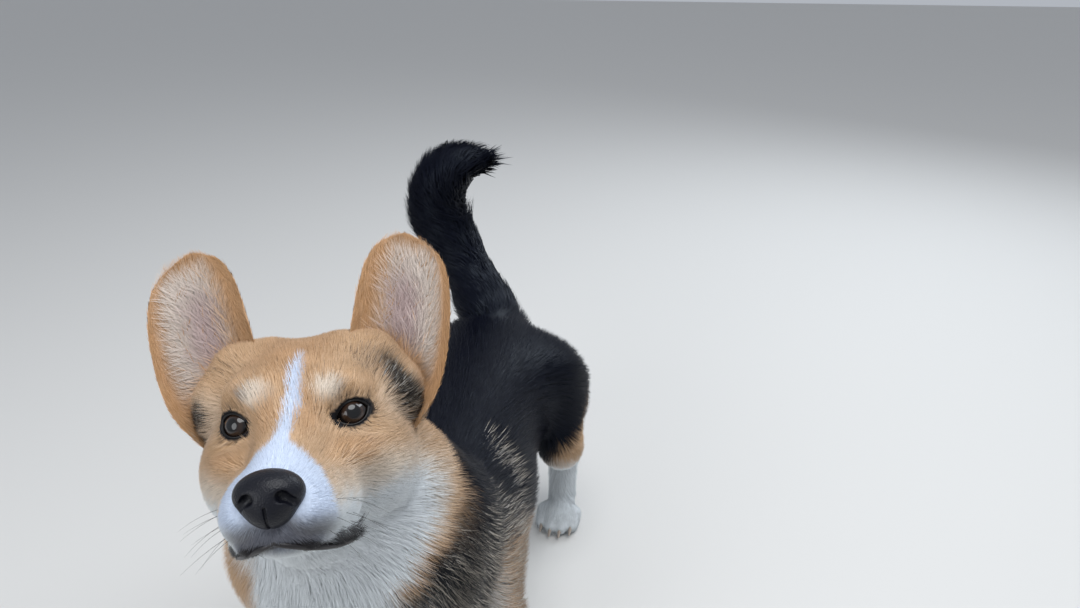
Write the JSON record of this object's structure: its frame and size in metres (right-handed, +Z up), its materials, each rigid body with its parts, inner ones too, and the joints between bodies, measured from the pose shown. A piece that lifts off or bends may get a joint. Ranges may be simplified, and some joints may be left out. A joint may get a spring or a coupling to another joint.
{
  "type": "pembroke welsh corgi model",
  "caption": "Still, life-size museum model of a standing Pembroke Welsh corgi with a tricolour coat, head turned up towards the viewer, ears erect and a raised bushy tail.",
  "frame": {"origin": "middle of the dog's bounding box in plan, on the floor under its feet", "axes": "+Z up; the dog faces -Y, so +Y runs from nose to tail; +X is the dog's left"},
  "size_m": [0.2558, 0.6224, 0.4943],
  "materials": {
    "black_coat": "glossy black fur, blue-grey where the light catches it",
    "tan_coat": "soft tan fur over black and grey banded hair at the shoulder",
    "white_coat": "soft white to cream fur",
    "nose_leather": "moist black pebbled nose leather",
    "eye": "wet dark brown eye with a black rim",
    "claw": "horn, translucent brown-grey"
  },
  "bodies": {
    "root": {"torso": "black_coat", "neck": "white_coat", "head": "tan_coat", "lower_jaw": "white_coat", "nose": "nose_leather", "left_eye": "eye", "right_eye": "eye", "left_ear": "tan_coat", "right_ear": "tan_coat", "tail_root": "black_coat", "tail_middle": "black_coat", "tail_tip": "black_coat", "left_foreleg": "tan_coat", "left_forepaw": "white_coat", "left_thigh": "black_coat", "left_shank": "tan_coat", "left_hindpaw": "white_coat", "right_foreleg": "tan_coat", "right_forepaw": "white_coat", "right_thigh": "black_coat", "right_shank": "tan_coat", "right_hindpaw": "white_coat", "left_forepaw_claw_1": "claw", "left_forepaw_claw_2": "claw", "left_forepaw_claw_3": "claw", "left_forepaw_claw_4": "claw", "left_hindpaw_claw_1": "claw", "left_hindpaw_claw_2": "claw", "left_hindpaw_claw_3": "claw", "left_hindpaw_claw_4": "claw", "right_forepaw_claw_1": "claw", "right_forepaw_claw_2": "claw", "right_forepaw_claw_3": "claw", "right_forepaw_claw_4": "claw", "right_hindpaw_claw_1": "claw", "right_hindpaw_claw_2": "claw", "right_hindpaw_claw_3": "claw", "right_hindpaw_claw_4": "claw"}
  },
  "joints": []
}
